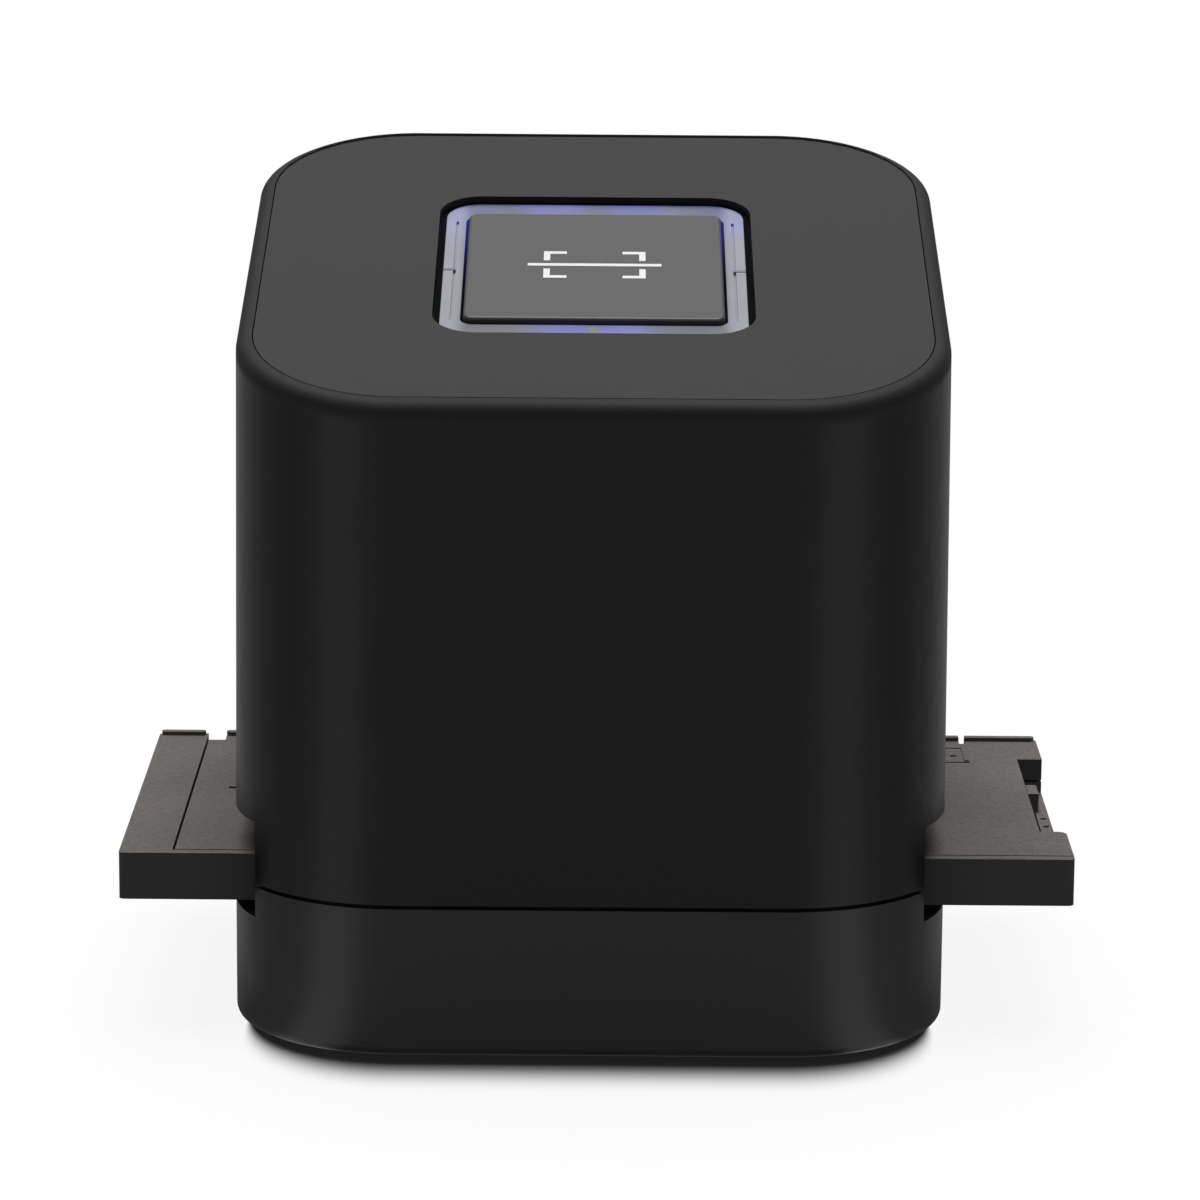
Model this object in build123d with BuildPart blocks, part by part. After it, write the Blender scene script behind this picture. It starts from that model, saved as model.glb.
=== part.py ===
"""Desktop slide scanner: a rounded square tower with a sloped top, one large lit
button, and a two-slide holder that slides right through the body.

Frame: millimetres, origin on the floor under the middle, +Z up, front towards -Y.
The slide holder runs along X.
"""
import math
import os

from build123d import *

os.makedirs("parts", exist_ok=True)

# Body
BODY_W = 88.0
BODY_MARGIN = 12.5
CORNER_R = 20.5
WALL = 2.4
FOOT_H = 1.0
SEAM_Z = 19.8
SEAM_GAP = 0.5
LIP_TOP = 22.0
LIP_INSET = 1.3
LIP_CLEAR = 0.15
TOP_MID_Z = 92.4
LOFT_SPARE = 19.6
TOP_TILT = 14.5
DRAFT_SIDE = 0.55
EDGE_R = 1.6
FLOOR_Z = FOOT_H + WALL

# Slot through both sides
SLOT_CLEAR = 2.7
SLOT_LOW = 15.7
SLOT_HIGH = 27.7
SLOT_REACH = 12.0

# Top panel and button, measured down the panel's own normal
PANEL_T = 2.0
PANEL_CLEAR = 0.15
LEDGE_T = 2.5
LEDGE_MARGIN = 10.0
OPEN_X = 39.8
OPEN_Y = 43.2
OPEN_R = 5.5
OPEN_SHIFT = -1.3
RING_CLEAR = 0.3
RING_TOP = -1.0
RING_BOTTOM = -6.0
BUTTON_X = 32.2
BUTTON_Y = 33.2
BUTTON_R = 1.2
BUTTON_CLEAR = 0.4
BUTTON_TOP = -0.25
BUTTON_SKIRT = -6.4
STEM_END = -8.6
SWITCH_TOP = -9.9
BOARD_TOP = -13.4
BOARD_T = 1.6

# Slide holder
TRAY_L = 117.6
TRAY_SHIFT = 0.85
TRAY_D = 61.0
TRAY_LOW = 17.1
TRAY_TOP = 23.0
LID_LOW = 20.2
LID_GAP = 0.3
RIM_W = 1.6
END_BLOCK = 6.5
SLIDE_PITCH = 51.5
WINDOW_X = 36.0
WINDOW_Y = 24.0
MOUNT_RIM = 5.2
HINGE_R = 0.5
EAR_W = 1.6
EAR_T = 2.0
NOTCH_DEPTH = 3.5
NOTCH_W = 2.2
DETENT_INSET = 7.1
CLICK_W = 0.8
CLICK_DEPTH = 2.6
GRIP_DEPTH = 3.3
GRIP_INSET_FRONT = 13.3
GRIP_INSET_REAR = 10.9
GRIP_LEDGE = 18.5
GRIP_GROOVE = 1.7
RIB_H = 0.5
RIB_W = 1.2
RIB_INSET = 0.3
TONGUE_SETBACK = 9.65
TONGUE_INSET = 8.9
TONGUE_HALF = 3.8

# Film channel and optics
BED_TOP = 16.8
BED_LOW = 13.8
BED_MARGIN = 13.0
GUIDE_CLEAR = 0.5
GATE_LOW = 28.5
GATE_TOP = 30.5
TOWER_DROP = 34.4
HOLDER_H = 10.0
MAIN_MARGIN = 7.6
MAIN_LOW = 33.0
MAIN_DROP = 4.4
MAIN_HOLE = 5.0
USB_Z = 40.0

POST_INSET = 9.0
FOOT_INSET = 17.0
PANEL_POST_X = 27.0

tilt = math.radians(TOP_TILT)
TOP = Plane(origin=(0, 0, TOP_MID_Z), x_dir=(1, 0, 0), z_dir=(0, -math.sin(tilt), math.cos(tilt)))
LOFT_TOP = TOP_MID_Z + LOFT_SPARE
BODY_D = TRAY_D + 2 * BODY_MARGIN
SLOT_HALF = TRAY_D / 2 + SLOT_CLEAR
SLOT_INNER_X = BODY_W / 2 - WALL - 3.4
GUIDE_INNER = TRAY_D / 2 + GUIDE_CLEAR
MOUNT_SIZE = TRAY_D - 2 * MOUNT_RIM
BED_HALF_X = BODY_W / 2 - BED_MARGIN
POST_X = BODY_W / 2 - POST_INSET
POST_Y = BODY_D / 2 - POST_INSET
FOOT_X = BODY_W / 2 - FOOT_INSET
FOOT_Y = BODY_D / 2 - FOOT_INSET + 1
LEDGE_OPEN_X = 2 * PANEL_POST_X + 12
LEDGE_OPEN_Y = BODY_D - 2 * LEDGE_MARGIN
PANEL_POST_Y = BODY_D / 2 - 16
TOWER_TOP = TOP_MID_Z - TOWER_DROP
HOLDER_TOP = TOWER_TOP + HOLDER_H
MAIN_Y = BODY_D / 2 - MAIN_MARGIN
MAIN_TOP = TOP_MID_Z - MAIN_DROP
RIBBON_Z = HOLDER_TOP + 3.5
BOARD_W = BODY_W - 30
HOLE_X = BOARD_W / 2 - MAIN_HOLE
BOARD_HOLES = [(sx * HOLE_X, z) for z in (MAIN_LOW + MAIN_HOLE, MAIN_TOP - MAIN_HOLE) for sx in (-1, 1)]
DETENT_X = BED_HALF_X - DETENT_INSET
CLICK_X = DETENT_X + SLIDE_PITCH / 2
TRAY_RIGHT = TRAY_SHIFT + TRAY_L / 2
TRAY_LEFT = TRAY_SHIFT - TRAY_L / 2
TRAY_FRONT = -TRAY_D / 2
TRAY_REAR = TRAY_D / 2
LID_LEFT = TRAY_LEFT + END_BLOCK + LID_GAP
HINGE_X = LID_LEFT + 1.2
HINGE_Z = LID_LOW + 1.2
REAR_EAR = TRAY_REAR - 1.3
FRONT_EAR = TRAY_FRONT + RIM_W + 2.3
GRIP_FRONT = TRAY_FRONT + GRIP_INSET_FRONT
GRIP_REAR = TRAY_REAR - GRIP_INSET_REAR
TONGUE_Y = TRAY_REAR - TONGUE_INSET
TONGUE_END = TRAY_RIGHT - TONGUE_SETBACK
CORNERS = [(-1, -1), (1, -1), (-1, 1), (1, 1)]


def block(x_size, y_size, low, high, centre=(0, 0), radius=0.0, plane=Plane.XY, mode=Mode.ADD):
    """Prism between two heights above a plane, with optional rounded corners."""
    with BuildSketch(plane.offset(low)) as outline:
        with Locations(centre):
            if radius:
                RectangleRounded(x_size, y_size, radius)
            else:
                Rectangle(x_size, y_size)
    extrude(outline.sketch, amount=high - low, mode=mode)


def drum(radius, low, high, centres=((0, 0),), plane=Plane.XY, mode=Mode.ADD):
    """Upright cylinders between two heights above a plane."""
    with BuildSketch(plane.offset(low)) as outline:
        with Locations(*centres):
            Circle(radius)
    extrude(outline.sketch, amount=high - low, mode=mode)


def spread(x, y):
    """The four mirrored positions of one point."""
    return [(sx * x, sy * y) for sx, sy in CORNERS]


def body_prism(inset, low, high, mode=Mode.ADD):
    """Straight prism of the body's outline, drawn in by an inset."""
    block(BODY_W - 2 * inset, BODY_D - 2 * inset, low, high, radius=CORNER_R - inset, mode=mode)


def cut_slots():
    """The slots in both side walls that the slide holder passes through."""
    for side in (-1, 1):
        middle = side * (SLOT_INNER_X + SLOT_REACH / 2)
        block(SLOT_REACH, 2 * SLOT_HALF, SLOT_LOW, SLOT_HIGH, (middle, 0), mode=Mode.SUBTRACT)


def save(part, name):
    part.label = name
    export_step(part, "parts/" + name + ".step")


# Upper housing
with BuildPart() as upper_shell:
    draft = DRAFT_SIDE * (LOFT_TOP - SEAM_Z) / 80.0
    low_z = SEAM_Z + SEAM_GAP / 2
    with BuildSketch(Plane.XY.offset(low_z)):
        RectangleRounded(BODY_W, BODY_D, CORNER_R)
    with BuildSketch(Plane.XY.offset(LOFT_TOP)):
        RectangleRounded(BODY_W - 2 * draft, BODY_D - 2 * draft, CORNER_R - draft)
    loft(ruled=True)
    split(bisect_by=TOP, keep=Keep.BOTTOM)
    top_face = upper_shell.faces().sort_by(Axis.Z)[-1]
    fillet(top_face.edges(), radius=EDGE_R)
    body_prism(WALL, low_z, LOFT_TOP, mode=Mode.SUBTRACT)
    body_prism(LIP_INSET - LIP_CLEAR, low_z, LIP_TOP, mode=Mode.SUBTRACT)
    slope = 1 / math.cos(tilt)
    ledge_low = -PANEL_T - LEDGE_T
    with BuildSketch(TOP.offset(ledge_low)):
        RectangleRounded(BODY_W - 3.6, (BODY_D - 3.6) * slope, CORNER_R - 1.8)
        RectangleRounded(LEDGE_OPEN_X, LEDGE_OPEN_Y, 8, mode=Mode.SUBTRACT)
    extrude(amount=LEDGE_T)
    drum(3.0, LIP_TOP, 46.0, spread(POST_X, POST_Y))
    drum(1.1, LIP_TOP, 38.0, spread(POST_X, POST_Y), mode=Mode.SUBTRACT)
    with BuildSketch(Plane.XZ.offset(-MAIN_Y - BOARD_T)):
        with Locations(*BOARD_HOLES):
            Circle(2.6)
            Circle(0.9, mode=Mode.SUBTRACT)
    extrude(amount=-4.6)
    with BuildSketch(Plane.XZ.offset(4 - BODY_D / 2)):
        with Locations((0, USB_Z)):
            RectangleRounded(9.4, 5.6, 1.0)
    extrude(amount=-6, mode=Mode.SUBTRACT)
    cut_slots()
save(upper_shell.part, "upper_shell")

# Lower housing
with BuildPart() as base_shell:
    body_prism(0, FOOT_H, SEAM_Z - SEAM_GAP / 2)
    fillet(base_shell.faces().sort_by(Axis.Z)[0].edges(), radius=1.2)
    body_prism(WALL, FLOOR_Z, SEAM_Z, mode=Mode.SUBTRACT)
    with BuildSketch(Plane.XY.offset(SEAM_Z - 3)):
        RectangleRounded(BODY_W - 2 * LIP_INSET, BODY_D - 2 * LIP_INSET, CORNER_R - LIP_INSET)
        RectangleRounded(BODY_W - 2 * WALL, BODY_D - 2 * WALL, CORNER_R - WALL, mode=Mode.SUBTRACT)
    extrude(amount=LIP_TOP - SEAM_Z + 3)
    drum(3.0, FOOT_H + 0.8, LIP_TOP, spread(POST_X, POST_Y))
    drum(2.6, FOOT_H, 8.0, spread(POST_X, POST_Y), mode=Mode.SUBTRACT)
    drum(1.3, 7.0, LIP_TOP, spread(POST_X, POST_Y), mode=Mode.SUBTRACT)
    drum(5.2, FOOT_H, FOOT_H + 1.0, spread(FOOT_X, FOOT_Y), mode=Mode.SUBTRACT)
    drum(2.5, FLOOR_Z - 0.5, FLOOR_Z + 1.0, spread(22, 16))
    cut_slots()
save(base_shell.part, "base_shell")

with BuildPart() as rubber_feet:
    drum(5.0, 0.0, FOOT_H + 1.0, spread(FOOT_X, FOOT_Y))
    chamfer(rubber_feet.faces().filter_by(Axis.Z).group_by(Axis.Z)[0].edges(), length=0.4)
save(rubber_feet.part, "rubber_feet")

with BuildPart() as housing_screws:
    drum(2.3, 6.2, 8.0, spread(POST_X, POST_Y))
    drum(1.05, 7.0, 36.0, spread(POST_X, POST_Y))
    for turn in (0, 90):
        with BuildSketch(Plane.XY.offset(6.2)):
            with Locations(*spread(POST_X, POST_Y)):
                Rectangle(2.8, 0.6, rotation=turn)
        extrude(amount=0.9, mode=Mode.SUBTRACT)
save(housing_screws.part, "housing_screws")

# Top panel, light ring and button, all square to the sloped top
with BuildPart() as top_panel:
    body_prism(WALL + PANEL_CLEAR, TOP_MID_Z - 32.4, LOFT_TOP)
    split(bisect_by=TOP, keep=Keep.BOTTOM)
    split(bisect_by=TOP.offset(-PANEL_T), keep=Keep.TOP)
    block(OPEN_X, OPEN_Y, -PANEL_T, 0, (0, OPEN_SHIFT), OPEN_R, TOP, Mode.SUBTRACT)
    drum(2.6, BOARD_TOP, -PANEL_T, spread(PANEL_POST_X, PANEL_POST_Y), TOP)
    drum(0.8, BOARD_TOP, -PANEL_T - 4, spread(PANEL_POST_X, PANEL_POST_Y), TOP, Mode.SUBTRACT)
save(top_panel.part, "top_panel")

with BuildPart() as light_ring:
    centre = (0, OPEN_SHIFT)
    out_x = OPEN_X - 2 * RING_CLEAR
    out_y = OPEN_Y - 2 * RING_CLEAR
    in_x = BUTTON_X + 2 * BUTTON_CLEAR
    in_y = BUTTON_Y + 2 * BUTTON_CLEAR
    block(out_x, out_y, RING_BOTTOM, RING_TOP, centre, OPEN_R - RING_CLEAR, TOP)
    block(OPEN_X + 6, OPEN_Y + 6, -PANEL_T - 1.5, -PANEL_T, centre, OPEN_R + 2, TOP)
    block(in_x, in_y, RING_BOTTOM, RING_TOP, centre, BUTTON_R + BUTTON_CLEAR, TOP, Mode.SUBTRACT)
    for side in (-1, 1):
        groove = (side * (in_x / 2 + 1.1), OPEN_SHIFT)
        block(0.35, in_y - 3, RING_TOP - 0.35, RING_TOP, groove, 0, TOP, Mode.SUBTRACT)
save(light_ring.part, "light_ring")

with BuildPart() as scan_button:
    centre = (0, OPEN_SHIFT)
    hollow_x = BUTTON_X - 3.4
    hollow_y = BUTTON_Y - 3.4
    hollow_top = BUTTON_TOP - 1.8
    block(BUTTON_X, BUTTON_Y, BUTTON_SKIRT, BUTTON_TOP, centre, BUTTON_R, TOP)
    cap_face = scan_button.faces().sort_by(Axis((0, 0, 0), TOP.z_dir))[-1]
    fillet(cap_face.edges(), radius=0.4)
    block(BUTTON_X + 3, BUTTON_Y + 3, BUTTON_SKIRT - 1.5, BUTTON_SKIRT, centre, 2.0, TOP)
    block(hollow_x, hollow_y, BUTTON_SKIRT - 1.5, hollow_top, centre, 1.0, TOP, Mode.SUBTRACT)
    drum(2.5, STEM_END, hollow_top, [centre], TOP)
    block(hollow_x, 1.4, BUTTON_SKIRT, hollow_top, centre, 0, TOP)
    block(1.4, hollow_y, BUTTON_SKIRT, hollow_top, centre, 0, TOP)
save(scan_button.part, "scan_button")

with BuildPart() as switch_plunger:
    drum(1.5, -11.0, STEM_END, [(0, OPEN_SHIFT)], TOP)
save(switch_plunger.part, "switch_plunger")

with BuildPart() as tact_switch:
    block(6, 6, BOARD_TOP, SWITCH_TOP, (0, OPEN_SHIFT), 0.4, TOP)
    drum(1.85, -12.4, SWITCH_TOP, [(0, OPEN_SHIFT)], TOP, Mode.SUBTRACT)
    for side in (-1, 1):
        block(1.2, 4.6, BOARD_TOP, BOARD_TOP + 0.4, (side * 3.6, OPEN_SHIFT), 0, TOP)
save(tact_switch.part, "tact_switch")

with BuildPart() as button_board:
    block(2 * PANEL_POST_X + 7, 2 * PANEL_POST_Y + 7, BOARD_TOP - BOARD_T, BOARD_TOP, (0, 0), 4, TOP)
    drum(1.0, BOARD_TOP - BOARD_T, BOARD_TOP, spread(PANEL_POST_X, PANEL_POST_Y), TOP, Mode.SUBTRACT)
save(button_board.part, "button_board")

with BuildPart() as button_board_screws:
    drum(1.9, BOARD_TOP - BOARD_T - 1.4, BOARD_TOP - BOARD_T, spread(PANEL_POST_X, PANEL_POST_Y), TOP)
    drum(0.75, BOARD_TOP - BOARD_T - 0.2, BOARD_TOP + 4.5, spread(PANEL_POST_X, PANEL_POST_Y), TOP)
save(button_board_screws.part, "button_board_screws")

with BuildPart() as ring_leds:
    with BuildSketch(TOP.offset(BOARD_TOP)):
        rear_y = OPEN_SHIFT + BUTTON_Y / 2 + 1.3
        front_y = OPEN_SHIFT - BUTTON_Y / 2 - 1.7
        with Locations((-13, rear_y), (13, rear_y), (-5, front_y), (5, front_y)):
            Rectangle(3.2, 2.6)
    extrude(amount=1.6)
save(ring_leds.part, "ring_leds")

# Film channel, backlight and optics
with BuildPart() as film_channel:
    depth = 2 * SLOT_HALF
    wall_mid = (GUIDE_INNER + SLOT_HALF) / 2
    wall_t = SLOT_HALF - GUIDE_INNER
    block(2 * BED_HALF_X, depth, BED_LOW, BED_TOP)
    for side in (-1, 1):
        block(2 * BED_HALF_X, wall_t, BED_LOW, 22.0, (0, side * wall_mid))
        for end in (-1, 1):
            block(5, wall_t, BED_LOW, GATE_LOW, (end * (BED_HALF_X - 2.5), side * wall_mid))
    block(WINDOW_X + 2, WINDOW_Y + 2, BED_LOW, BED_TOP, radius=1, mode=Mode.SUBTRACT)
    block(42.4, 30.4, BED_LOW, BED_LOW + 1.5, mode=Mode.SUBTRACT)
    drum(3.0, FLOOR_Z, BED_LOW, spread(BED_HALF_X - 3.5, GUIDE_INNER - 4))
    for side in (-1, 1):
        block(12.4, 0.9, 17.2, 22.0, (side * DETENT_X, GUIDE_INNER + 0.45), mode=Mode.SUBTRACT)
save(film_channel.part, "film_channel")

with BuildPart() as detent_springs:
    for side in (-1, 1):
        middle = side * DETENT_X
        block(12, 0.4, 17.4, 21.8, (middle, GUIDE_INNER + 0.7))
        block(1.2, 0.6, 17.4, 21.8, (middle, GUIDE_INNER + 0.3))
    ridge = detent_springs.faces().sort_by(Axis.Y)[:2]
    fillet([e for f in ridge for e in f.edges().filter_by(Axis.Z)], radius=0.4)
save(detent_springs.part, "detent_springs")

with BuildPart() as film_gate:
    block(2 * BED_HALF_X, 2 * SLOT_HALF, GATE_LOW, GATE_TOP)
    block(WINDOW_X + 1, WINDOW_Y + 1, GATE_LOW, GATE_TOP, radius=0.8, mode=Mode.SUBTRACT)
save(film_gate.part, "film_gate")

with BuildPart() as diffuser:
    block(42, 30, BED_LOW, BED_LOW + 1.5)
save(diffuser.part, "diffuser")

with BuildPart() as backlight_board:
    block(52, 2 * GUIDE_INNER - 22, FLOOR_Z + 1.0, FLOOR_Z + 2.6, radius=1)
save(backlight_board.part, "backlight_board")

with BuildPart() as backlight_leds:
    with BuildSketch(Plane.XY.offset(FLOOR_Z + 2.6)):
        with GridLocations(13, 11, 3, 2):
            Rectangle(3.5, 2.8)
    extrude(amount=0.9)
save(backlight_leds.part, "backlight_leds")

with BuildPart() as light_box:
    block(46, 34, FLOOR_Z + 2.6, BED_LOW)
    block(41, 29, FLOOR_Z + 2.6, BED_LOW, mode=Mode.SUBTRACT)
save(light_box.part, "light_box")

with BuildPart() as optics_tower:
    block(52, 40, GATE_TOP, GATE_TOP + 2)
    with BuildSketch(Plane.XY.offset(GATE_TOP)):
        Rectangle(46, 34)
    with BuildSketch(Plane.XY.offset(TOWER_TOP)):
        Rectangle(27, 27)
    loft(ruled=True)
    with BuildSketch(Plane.XY.offset(GATE_TOP)):
        Rectangle(42, 30)
    with BuildSketch(Plane.XY.offset(TOWER_TOP - 2)):
        Rectangle(23, 23)
    loft(ruled=True, mode=Mode.SUBTRACT)
    drum(8.2, TOWER_TOP - 3, TOWER_TOP, mode=Mode.SUBTRACT)
save(optics_tower.part, "optics_tower")

with BuildPart() as lens_barrel:
    mouth = TOWER_TOP - 11
    with BuildSketch(Plane.XZ):
        with BuildLine():
            Polyline(
                (6, mouth), (7.2, mouth), (8, mouth + 1), (8, TOWER_TOP), (10.5, TOWER_TOP),
                (10.5, TOWER_TOP + 2.5), (8.6, TOWER_TOP + 2.5), (8.6, TOWER_TOP + 7), (6, TOWER_TOP + 7),
                (6, TOWER_TOP - 1), (4, TOWER_TOP - 1), (4, TOWER_TOP - 5), (6, TOWER_TOP - 5), close=True,
            )
        make_face()
    revolve(axis=Axis.Z)
save(lens_barrel.part, "lens_barrel")

with BuildPart() as lens_elements:
    drum(5.9, TOWER_TOP - 8.4, TOWER_TOP - 5)
    drum(5.9, TOWER_TOP - 1, TOWER_TOP + 2.4)
    outer = lens_elements.faces().filter_by(Axis.Z).sort_by(Axis.Z)
    fillet(outer[0].edges() + outer[-1].edges(), radius=1.4)
save(lens_elements.part, "lens_elements")

with BuildPart() as lens_holder:
    block(27, 27, TOWER_TOP, HOLDER_TOP)
    block(22.4, 22.4, TOWER_TOP, HOLDER_TOP, mode=Mode.SUBTRACT)
    drum(0.9, HOLDER_TOP - 5, HOLDER_TOP, spread(12.3, 12.3), mode=Mode.SUBTRACT)
save(lens_holder.part, "lens_holder")

with BuildPart() as sensor_board:
    block(32, 32, HOLDER_TOP, HOLDER_TOP + BOARD_T, radius=1.5)
    drum(0.9, HOLDER_TOP, HOLDER_TOP + BOARD_T, spread(12.3, 12.3), mode=Mode.SUBTRACT)
save(sensor_board.part, "sensor_board")

with BuildPart() as image_sensor:
    block(12, 12, HOLDER_TOP - 1.4, HOLDER_TOP)
save(image_sensor.part, "image_sensor")

with BuildPart() as sensor_screws:
    drum(1.7, HOLDER_TOP + BOARD_T, HOLDER_TOP + BOARD_T + 1.3, spread(12.3, 12.3))
    drum(0.8, HOLDER_TOP - 4.5, HOLDER_TOP + BOARD_T + 0.2, spread(12.3, 12.3))
save(sensor_screws.part, "sensor_screws")

# Main board on the back wall, with the cable socket
BACK = Plane(origin=(0, MAIN_Y, 0), x_dir=(1, 0, 0), z_dir=(0, -1, 0))
with BuildPart() as main_board:
    block(BOARD_W, MAIN_TOP - MAIN_LOW, -BOARD_T, 0, (0, (MAIN_TOP + MAIN_LOW) / 2), 1.5, BACK)
    drum(1.0, -BOARD_T, 0, BOARD_HOLES, BACK, Mode.SUBTRACT)
save(main_board.part, "main_board")

with BuildPart() as board_chips:
    block(14, 14, 0, 1.2, (-6, RIBBON_Z - 15.5), 0, BACK)
    block(8, 11, 0, 1.0, (12, RIBBON_Z - 14.5), 0, BACK)
    block(5, 5, 0, 1.0, (12, MAIN_LOW + 11), 0, BACK)
save(board_chips.part, "board_chips")

with BuildPart() as ribbon_sockets:
    block(14, 4.0, 0, 2.2, (0, RIBBON_Z), 0, BACK)
    block(14, 5.0, HOLDER_TOP + BOARD_T, HOLDER_TOP + BOARD_T + 3.4, (0, 11.5))
save(ribbon_sockets.part, "ribbon_sockets")

with BuildPart() as sensor_ribbon:
    with BuildSketch(Plane.YZ.offset(-6)):
        with Locations(((14.0 + MAIN_Y - 2.2) / 2, RIBBON_Z)):
            Rectangle(MAIN_Y - 2.2 - 14.0, 0.3)
    extrude(amount=12)
save(sensor_ribbon.part, "sensor_ribbon")

with BuildPart() as board_screws:
    drum(1.9, 0, 1.4, BOARD_HOLES, BACK)
    drum(0.8, -4.9, 0.2, BOARD_HOLES, BACK)
save(board_screws.part, "board_screws")

with BuildPart() as usb_socket:
    with BuildSketch(Plane.XZ.offset(-MAIN_Y - BOARD_T)):
        with Locations((0, USB_Z)):
            RectangleRounded(8.0, 4.2, 0.8)
    extrude(amount=-5.4)
    with BuildSketch(Plane.XZ.offset(-MAIN_Y - BOARD_T - 1.0)):
        with Locations((0, USB_Z)):
            RectangleRounded(7.0, 3.2, 0.5)
    extrude(amount=-5, mode=Mode.SUBTRACT)
    with BuildSketch(Plane.XZ.offset(-MAIN_Y - BOARD_T)):
        with Locations((0, USB_Z)):
            Rectangle(4.4, 0.8)
    extrude(amount=-4.6)
save(usb_socket.part, "usb_socket")

# Slide holder: base, hinge pin and lid
with BuildPart() as holder_base:
    grip_y = (GRIP_FRONT + GRIP_REAR) / 2
    grip_w = GRIP_REAR - GRIP_FRONT
    lid_edge = LID_LEFT - LID_GAP
    block(TRAY_L, TRAY_D, TRAY_LOW, TRAY_TOP, (TRAY_SHIFT, 0))
    fillet(holder_base.edges().filter_by(Axis.Z), radius=0.8)
    rib_y = TRAY_REAR - RIB_W / 2 - 0.05
    rib_mid = (TRAY_LEFT + END_BLOCK / 2, rib_y)
    block(END_BLOCK - 2 * RIB_INSET, RIB_W, TRAY_TOP, TRAY_TOP + RIB_H, rib_mid, 0.5)
    lid_mid = ((TRAY_RIGHT + lid_edge) / 2, RIM_W / 2)
    block(TRAY_RIGHT - lid_edge, TRAY_D - RIM_W, LID_LOW - LID_GAP, TRAY_TOP, lid_mid, mode=Mode.SUBTRACT)
    for side in (-1, 1):
        middle = (side * SLIDE_PITCH / 2, 0)
        block(MOUNT_SIZE, MOUNT_SIZE, TRAY_LOW + 1.2, LID_LOW, middle, mode=Mode.SUBTRACT)
        block(WINDOW_X, WINDOW_Y, TRAY_LOW, LID_LOW, middle, 0.8, mode=Mode.SUBTRACT)
        click = (side * CLICK_X, TRAY_REAR - CLICK_DEPTH / 2)
        block(CLICK_W, CLICK_DEPTH, TRAY_LOW, LID_LOW, click, mode=Mode.SUBTRACT)
    grip = (TRAY_RIGHT - GRIP_DEPTH / 2, grip_y)
    block(GRIP_DEPTH, grip_w, GRIP_LEDGE, LID_LOW, grip, mode=Mode.SUBTRACT)
    groove = (TRAY_RIGHT - GRIP_DEPTH + GRIP_GROOVE / 2, grip_y)
    block(GRIP_GROOVE, grip_w - 1.2, TRAY_LOW + 0.7, GRIP_LEDGE, groove, mode=Mode.SUBTRACT)
    pips = [(TRAY_RIGHT - 0.8, GRIP_REAR - 17.5), (TRAY_RIGHT - 0.8, GRIP_REAR - 13.6)]
    drum(0.45, TRAY_LOW, GRIP_LEDGE, pips, mode=Mode.SUBTRACT)
    block(1.4, 4.6, TRAY_LOW + 0.5, LID_LOW + 0.8, (TRAY_RIGHT - 1.9, GRIP_REAR - 8.1))
    for ear in (FRONT_EAR, REAR_EAR):
        block(EAR_W, EAR_T, LID_LOW - 1.2, HINGE_Z + 0.8, (HINGE_X, ear))
    with BuildSketch(Plane.XZ.offset(-TRAY_REAR)):
        with Locations((HINGE_X, HINGE_Z)):
            Circle(HINGE_R)
    extrude(amount=TRAY_D - RIM_W - 0.2, mode=Mode.SUBTRACT)
save(holder_base.part, "holder_base")

with BuildPart() as hinge_pin:
    with BuildSketch(Plane.XZ.offset(-REAR_EAR - EAR_T / 2)):
        with Locations((HINGE_X, HINGE_Z)):
            Circle(HINGE_R - 0.02)
    extrude(amount=REAR_EAR - FRONT_EAR + EAR_T)
save(hinge_pin.part, "hinge_pin")

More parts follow.
